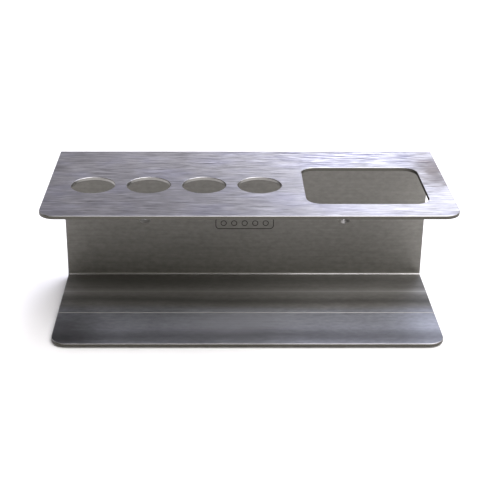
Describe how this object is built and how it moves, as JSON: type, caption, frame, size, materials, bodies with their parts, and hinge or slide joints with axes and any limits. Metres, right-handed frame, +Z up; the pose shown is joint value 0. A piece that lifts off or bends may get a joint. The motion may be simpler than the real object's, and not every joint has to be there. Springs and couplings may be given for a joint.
{
  "type": "airbrush holder stand",
  "caption": "Folded brushed steel bench stand, open to the front, with round holes for airbrushes and a rounded opening for a pot, on thin rubber pads.",
  "frame": {"origin": "on the bench, under the middle of the stand's outline", "axes": "+Z up, +X to the right along the folds, +Y towards the back wall; the open front faces -Y"},
  "size_m": [0.27, 0.124, 0.104],
  "materials": {
    "brushed_stainless": "fine brushed grain along the folds",
    "pad_rubber": "matt moulded rubber"
  },
  "bodies": {
    "root": {"folded_body": "brushed_stainless", "pad_front_left": "pad_rubber", "pad_front_right": "pad_rubber", "pad_rear_left": "pad_rubber", "pad_rear_right": "pad_rubber"}
  },
  "joints": []
}
